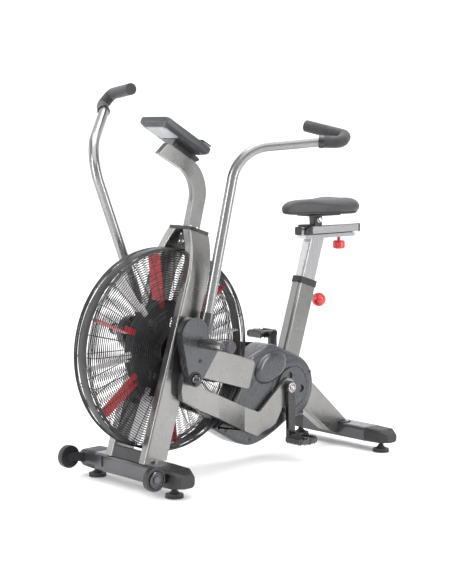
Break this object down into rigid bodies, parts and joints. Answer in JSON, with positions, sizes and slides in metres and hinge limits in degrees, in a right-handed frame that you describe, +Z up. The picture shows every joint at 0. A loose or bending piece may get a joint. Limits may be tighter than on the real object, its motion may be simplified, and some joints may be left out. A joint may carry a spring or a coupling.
{
  "type": "air bike",
  "caption": "Upright air resistance exercise bike with caged fan, linked swinging arms and pedals, foot pegs, console and adjustable saddle.",
  "frame": {"origin": "centre of the bounding box at floor level", "axes": "+X rearward, from fan to saddle; +Y to the rider's right when seated facing the fan; +Z up"},
  "size_m": [1.243, 0.7622, 1.2792],
  "materials": {
    "frame_silver": "warm silver-grey metallic paint, satin",
    "frame_grey": "mid grey metallic paint",
    "base_gunmetal": "dark gunmetal metallic paint",
    "black_paint": "black powder coat",
    "wire_black": "black coated wire",
    "plastic_black": "moulded, fine texture",
    "plastic_charcoal": "moulded, fine texture",
    "plastic_dark_grey": "moulded, satin",
    "screen": "display window",
    "handle_silver": "bright satin silver",
    "post_bright": "brushed",
    "steel": "machined and ribbed",
    "alloy_disc": "black disc",
    "blade_red": "red paint, gloss",
    "blade_grey": "silver-grey paint",
    "belt_rubber": "ribbed belt",
    "foot_rubber": "matt",
    "grip_rubber": "fine texture",
    "wheel_plastic": "moulded",
    "peg_cap": "purple-grey",
    "knob_red": "moulded, satin",
    "saddle_cover": "fine leather-like grain",
    "crank_black": "black coated forging"
  },
  "bodies": {
    "frame": {"front_stabilizer": "base_gunmetal", "rear_stabilizer": "base_gunmetal", "stabilizer_caps": "plastic_black", "left_upright": "frame_silver", "right_upright": "frame_silver", "upright_cap": "black_paint", "upright_brace": "black_paint", "left_side_member": "frame_silver", "right_side_member": "frame_silver", "rear_backbone": "frame_silver", "bottom_bracket_shell": "black_paint", "shaft_bearings": "steel", "seat_tube": "frame_grey", "seat_tube_collar": "plastic_black", "display_mast": "frame_grey", "console_bracket": "black_paint", "console_body": "plastic_dark_grey", "console_screen": "screen", "left_shroud": "plastic_charcoal", "right_shroud": "plastic_charcoal", "drive_belts": "belt_rubber", "belt_guard": "plastic_black", "left_grille": "wire_black", "right_grille": "wire_black", "cage_rim": "wire_black", "foot_pegs": "steel", "foot_peg_caps": "peg_cap", "pivot_covers": "black_paint"},
    "front_left_foot_body": {"front_left_foot": "foot_rubber"},
    "front_right_foot_body": {"front_right_foot": "foot_rubber"},
    "rear_left_foot_body": {"rear_left_foot": "foot_rubber"},
    "rear_right_foot_body": {"rear_right_foot": "foot_rubber"},
    "left_wheel_body": {"left_wheel": "wheel_plastic"},
    "right_wheel_body": {"right_wheel": "wheel_plastic"},
    "fan": {"fan_shaft": "steel", "fan_disc": "alloy_disc", "red_blades": "blade_red", "grey_blades": "blade_grey"},
    "intermediate_shaft": {"jackshaft": "steel"},
    "crank": {"crank_axle": "crank_black", "crank_pulley": "plastic_black", "left_crank_arm": "crank_black", "right_crank_arm": "crank_black"},
    "left_pedal_body": {"left_pedal": "plastic_black"},
    "right_pedal_body": {"right_pedal": "plastic_black"},
    "left_rod_body": {"left_rod": "frame_silver"},
    "right_rod_body": {"right_rod": "frame_silver"},
    "left_arm": {"left_lever": "frame_silver", "left_handle": "handle_silver", "left_grip": "grip_rubber"},
    "right_arm": {"right_lever": "frame_silver", "right_handle": "handle_silver", "right_grip": "grip_rubber"},
    "seat_post_body": {"seat_post": "post_bright", "rail_clamps": "black_paint"},
    "saddle_carriage": {"slider_tube": "post_bright", "saddle_clamp": "black_paint", "saddle": "saddle_cover"},
    "height_knob_body": {"height_knob": "knob_red"},
    "slide_knob_body": {"slide_knob": "knob_red"}
  },
  "joints": [
    {"name": "crank_spin", "type": "hinge", "parent": "frame", "child": "crank", "pos_m": [0.241, 0, 0.2465], "axis": [0, 1, 0], "continuous": true},
    {"name": "intermediate_spin", "type": "hinge", "parent": "frame", "child": "intermediate_shaft", "pos_m": [0.1465, 0, 0.342], "axis": [0, 1, 0], "continuous": true},
    {"name": "fan_spin", "type": "hinge", "parent": "frame", "child": "fan", "pos_m": [-0.2965, 0, 0.43], "axis": [0, 1, 0], "continuous": true},
    {"name": "left_pedal_spin", "type": "hinge", "parent": "crank", "child": "left_pedal_body", "pos_m": [0.2125, 0, 0.0795], "axis": [0, 1, 0], "continuous": true},
    {"name": "right_pedal_spin", "type": "hinge", "parent": "crank", "child": "right_pedal_body", "pos_m": [0.2695, 0, 0.4135], "axis": [0, 1, 0], "continuous": true},
    {"name": "left_rod_spin", "type": "hinge", "parent": "crank", "child": "left_rod_body", "pos_m": [0.2097, 0, 0.25315], "axis": [0, 1, 0], "continuous": true},
    {"name": "right_rod_spin", "type": "hinge", "parent": "crank", "child": "right_rod_body", "pos_m": [0.2723, 0, 0.23985], "axis": [0, 1, 0], "continuous": true},
    {"name": "left_arm_swing", "type": "hinge", "parent": "frame", "child": "left_arm", "pos_m": [-0.2665, 0, 0.463], "axis": [0, 1, 0], "range_deg": [-31.4, 0]},
    {"name": "right_arm_swing", "type": "hinge", "parent": "frame", "child": "right_arm", "pos_m": [-0.2665, 0, 0.463], "axis": [0, 1, 0], "range_deg": [0, 31.4]},
    {"name": "seat_height", "type": "slide", "parent": "frame", "child": "seat_post_body", "axis": [0.3047, 0, 0.9524], "range_m": [-0.09, 0.1]},
    {"name": "saddle_fore_aft", "type": "slide", "parent": "seat_post_body", "child": "saddle_carriage", "axis": [1, 0, 0], "range_m": [-0.012, 0.035]},
    {"name": "height_pin_pull", "type": "slide", "parent": "frame", "child": "height_knob_body", "axis": [0.9524, 0, -0.3047], "range_m": [0, 0.01], "stiffness_N_per_m": 600, "springref_m": -0.005},
    {"name": "slide_pin_pull", "type": "slide", "parent": "seat_post_body", "child": "slide_knob_body", "axis": [0, 0, -1], "range_m": [0, 0.01], "stiffness_N_per_m": 600, "springref_m": -0.005},
    {"name": "left_wheel_spin", "type": "hinge", "parent": "frame", "child": "left_wheel_body", "pos_m": [-0.5165, -0.2144, 0.0766], "axis": [0, 1, 0], "continuous": true},
    {"name": "right_wheel_spin", "type": "hinge", "parent": "frame", "child": "right_wheel_body", "pos_m": [-0.5165, 0.2144, 0.0766], "axis": [0, 1, 0], "continuous": true},
    {"name": "front_left_foot_screw", "type": "slide", "parent": "frame", "child": "front_left_foot_body", "axis": [0, 0, -1], "range_m": [0, 0.012]},
    {"name": "front_right_foot_screw", "type": "slide", "parent": "frame", "child": "front_right_foot_body", "axis": [0, 0, -1], "range_m": [0, 0.012]},
    {"name": "rear_left_foot_screw", "type": "slide", "parent": "frame", "child": "rear_left_foot_body", "axis": [0, 0, -1], "range_m": [0, 0.012]},
    {"name": "rear_right_foot_screw", "type": "slide", "parent": "frame", "child": "rear_right_foot_body", "axis": [0, 0, -1], "range_m": [0, 0.012]}
  ],
  "couplings": [
    {"joint": "intermediate_spin", "follows": "crank_spin", "ratio": 3},
    {"joint": "fan_spin", "follows": "crank_spin", "ratio": 7.5},
    {"joint": "left_rod_spin", "follows": "crank_spin", "ratio": -1},
    {"joint": "right_rod_spin", "follows": "crank_spin", "ratio": -1},
    {"joint": "right_arm_swing", "follows": "left_arm_swing", "ratio": -1}
  ]
}
